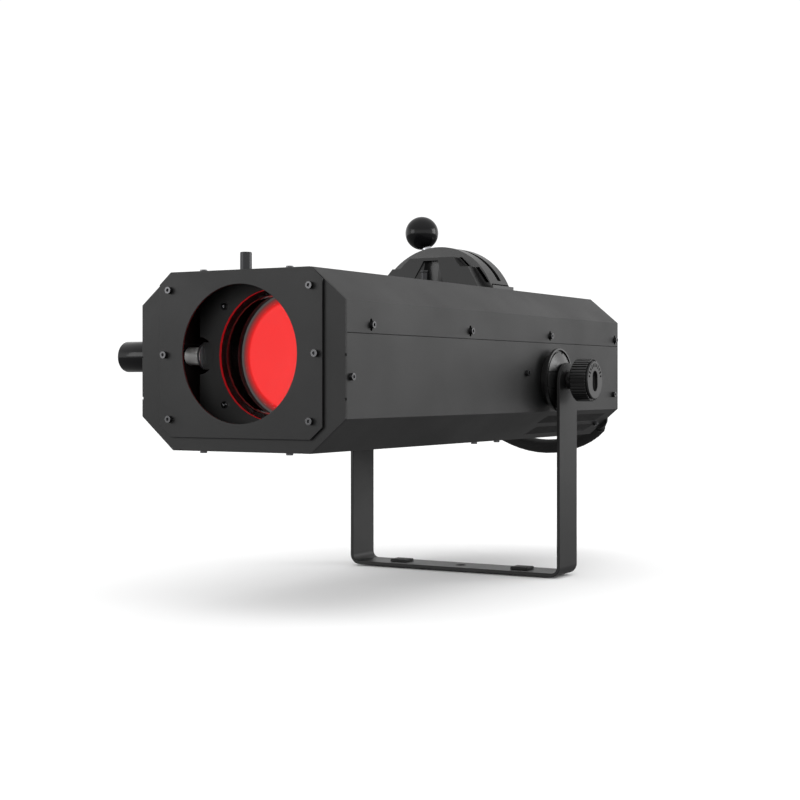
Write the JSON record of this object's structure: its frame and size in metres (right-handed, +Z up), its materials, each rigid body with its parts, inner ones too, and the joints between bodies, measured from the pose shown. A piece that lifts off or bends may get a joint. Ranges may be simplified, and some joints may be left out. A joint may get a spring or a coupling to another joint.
{
  "type": "ellipsoidal spotlight",
  "caption": "Stage spotlight in a folded sheet-metal housing on a tilting yoke, with sliding focus lenses, iris, lever-turned colour wheel and fan-cooled lamp.",
  "frame": {"origin": "on the floor, under the middle of the whole object's box, housing level", "axes": "+Z up; the light leaves towards -Y; +X is to the right of a viewer who faces the lens; the tilt axis runs along X"},
  "size_m": [0.3784, 0.7266, 0.4281],
  "materials": {
    "powder_black": "satin",
    "moulded_black": "matte",
    "gloss_black": "gloss",
    "inside_black": "matte",
    "rubber_black": "matte",
    "black_steel": "satin",
    "bright_steel": "polished",
    "bare_aluminium": "satin",
    "circuit_board": "satin",
    "white_nylon": "satin",
    "clear_glass": "polished",
    "red_glass": "polished",
    "amber_glass": "polished",
    "blue_glass": "polished",
    "red_rocker": "gloss"
  },
  "bodies": {
    "yoke": {"yoke_bracket": "powder_black", "yoke_pad_left": "rubber_black", "yoke_pad_right": "rubber_black"},
    "tilt_clamp_left": {"tilt_knob_left": "moulded_black"},
    "tilt_clamp_right": {"tilt_knob_right": "moulded_black"},
    "head": {"top_cover": "powder_black", "lower_body": "powder_black", "vent_grille_left": "black_steel", "vent_grille_right": "black_steel", "front_cap": "powder_black", "front_plate": "powder_black", "front_screw_1": "black_steel", "front_screw_2": "black_steel", "front_screw_3": "black_steel", "front_screw_4": "black_steel", "front_screw_5": "black_steel", "front_screw_6": "black_steel", "rear_panel": "powder_black", "rear_handle": "powder_black", "handle_grip": "rubber_black", "trunnion_left": "moulded_black", "trunnion_right": "moulded_black", "wheel_cover": "moulded_black", "wheel_axle": "bright_steel", "gate_plate": "inside_black", "iris_housing": "black_steel", "condenser_lens": "clear_glass", "led_reflector": "bare_aluminium", "led_board": "circuit_board", "heat_sink": "bare_aluminium", "fan_frame": "moulded_black", "driver_box": "bare_aluminium", "guide_rod_left": "bright_steel", "guide_rod_right": "bright_steel", "rod_bar_front": "bare_aluminium", "rod_bar_rear": "bare_aluminium", "power_inlet": "moulded_black", "switch_bezel": "moulded_black"},
    "objective": {"objective_carriage": "inside_black", "front_lens": "clear_glass", "rear_lens_ring": "black_steel", "rear_lens": "clear_glass", "sleeve_flange": "bare_aluminium", "grip_sleeve": "white_nylon"},
    "focus_clamp": {"focus_grip": "gloss_black"},
    "wheel": {"colour_wheel": "black_steel", "red_filter": "red_glass", "amber_filter": "amber_glass", "blue_filter": "blue_glass", "lever_stem": "bright_steel", "ball_knob": "gloss_black"},
    "iris": {"iris_lever": "black_steel"},
    "fan": {"fan_rotor": "moulded_black"},
    "rocker": {"power_rocker": "red_rocker"},
    "dimmer": {"dimmer_knob": "moulded_black"},
    "catch": {"frame_catch": "black_steel"}
  },
  "joints": [
    {"name": "tilt", "type": "hinge", "parent": "yoke", "child": "head", "pos_m": [0.0128, 0.10123, 0.2305], "axis": [1, 0, 0], "range_deg": [-45, 45]},
    {"name": "tilt_clamp_left_turn", "type": "hinge", "parent": "yoke", "child": "tilt_clamp_left", "pos_m": [0.0128, 0.10123, 0.2305], "axis": [1, 0, 0], "range_deg": [0, 540]},
    {"name": "tilt_clamp_right_turn", "type": "hinge", "parent": "yoke", "child": "tilt_clamp_right", "pos_m": [0.0128, 0.10123, 0.2305], "axis": [1, 0, 0], "range_deg": [-540, 0]},
    {"name": "focus_slide", "type": "slide", "parent": "head", "child": "objective", "axis": [0, 1, 0], "range_m": [-0.02, 0.13]},
    {"name": "focus_clamp_turn", "type": "hinge", "parent": "objective", "child": "focus_clamp", "pos_m": [0.0128, -0.28217, 0.255], "axis": [1, 0, 0], "range_deg": [-540, 0]},
    {"name": "colour_wheel_turn", "type": "hinge", "parent": "head", "child": "wheel", "pos_m": [0.0128, 0.06483, 0.3081], "axis": [0, 1, 0], "range_deg": [-37.6, 75.2]},
    {"name": "iris_turn", "type": "hinge", "parent": "head", "child": "iris", "pos_m": [0.0128, 0.01023, 0.255], "axis": [0, 1, 0], "range_deg": [-11, 11]},
    {"name": "fan_spin", "type": "hinge", "parent": "head", "child": "fan", "pos_m": [0.0128, 0.24733, 0.255], "axis": [0, 1, 0], "continuous": true},
    {"name": "power_rocker_turn", "type": "hinge", "parent": "head", "child": "rocker", "pos_m": [-0.0617, 0.30683, 0.2755], "axis": [1, 0, 0], "range_deg": [0, 10]},
    {"name": "dimmer_turn", "type": "hinge", "parent": "head", "child": "dimmer", "pos_m": [0.0878, 0.31383, 0.2755], "axis": [0, 1, 0], "range_deg": [0, 300]},
    {"name": "catch_lift", "type": "slide", "parent": "head", "child": "catch", "axis": [0, 0, 1], "range_m": [0, 0.008], "stiffness_N_per_m": 300, "springref_m": -0.004}
  ]
}
